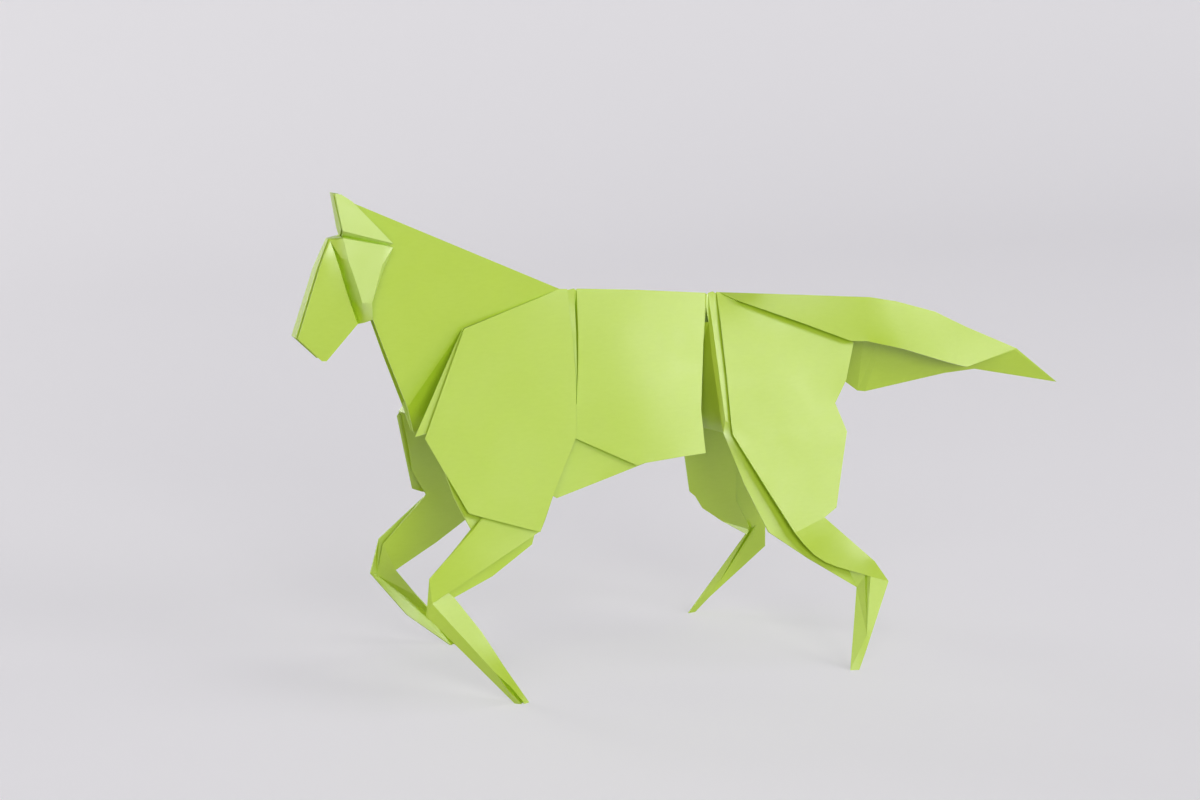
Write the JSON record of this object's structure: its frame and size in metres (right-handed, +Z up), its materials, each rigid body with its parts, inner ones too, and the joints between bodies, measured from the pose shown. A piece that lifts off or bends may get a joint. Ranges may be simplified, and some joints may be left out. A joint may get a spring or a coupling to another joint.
{
  "type": "origami horse",
  "caption": "Horse in mid stride folded from a sheet of lime green paper: flared shoulder and haunch plates, bent legs, wrapped head and a long pointed tail.",
  "frame": {"origin": "centre of the bounding box's bottom, on the table the feet stand on", "axes": "+X from nose to tail tip, +Y to the horse's right, +Z up"},
  "size_m": [0.2, 0.0596, 0.1154],
  "materials": {
    "paper": "matt uncoated sheet, dyed lime green on both faces"
  },
  "bodies": {
    "root": {"origami_horse": "paper"}
  },
  "joints": []
}
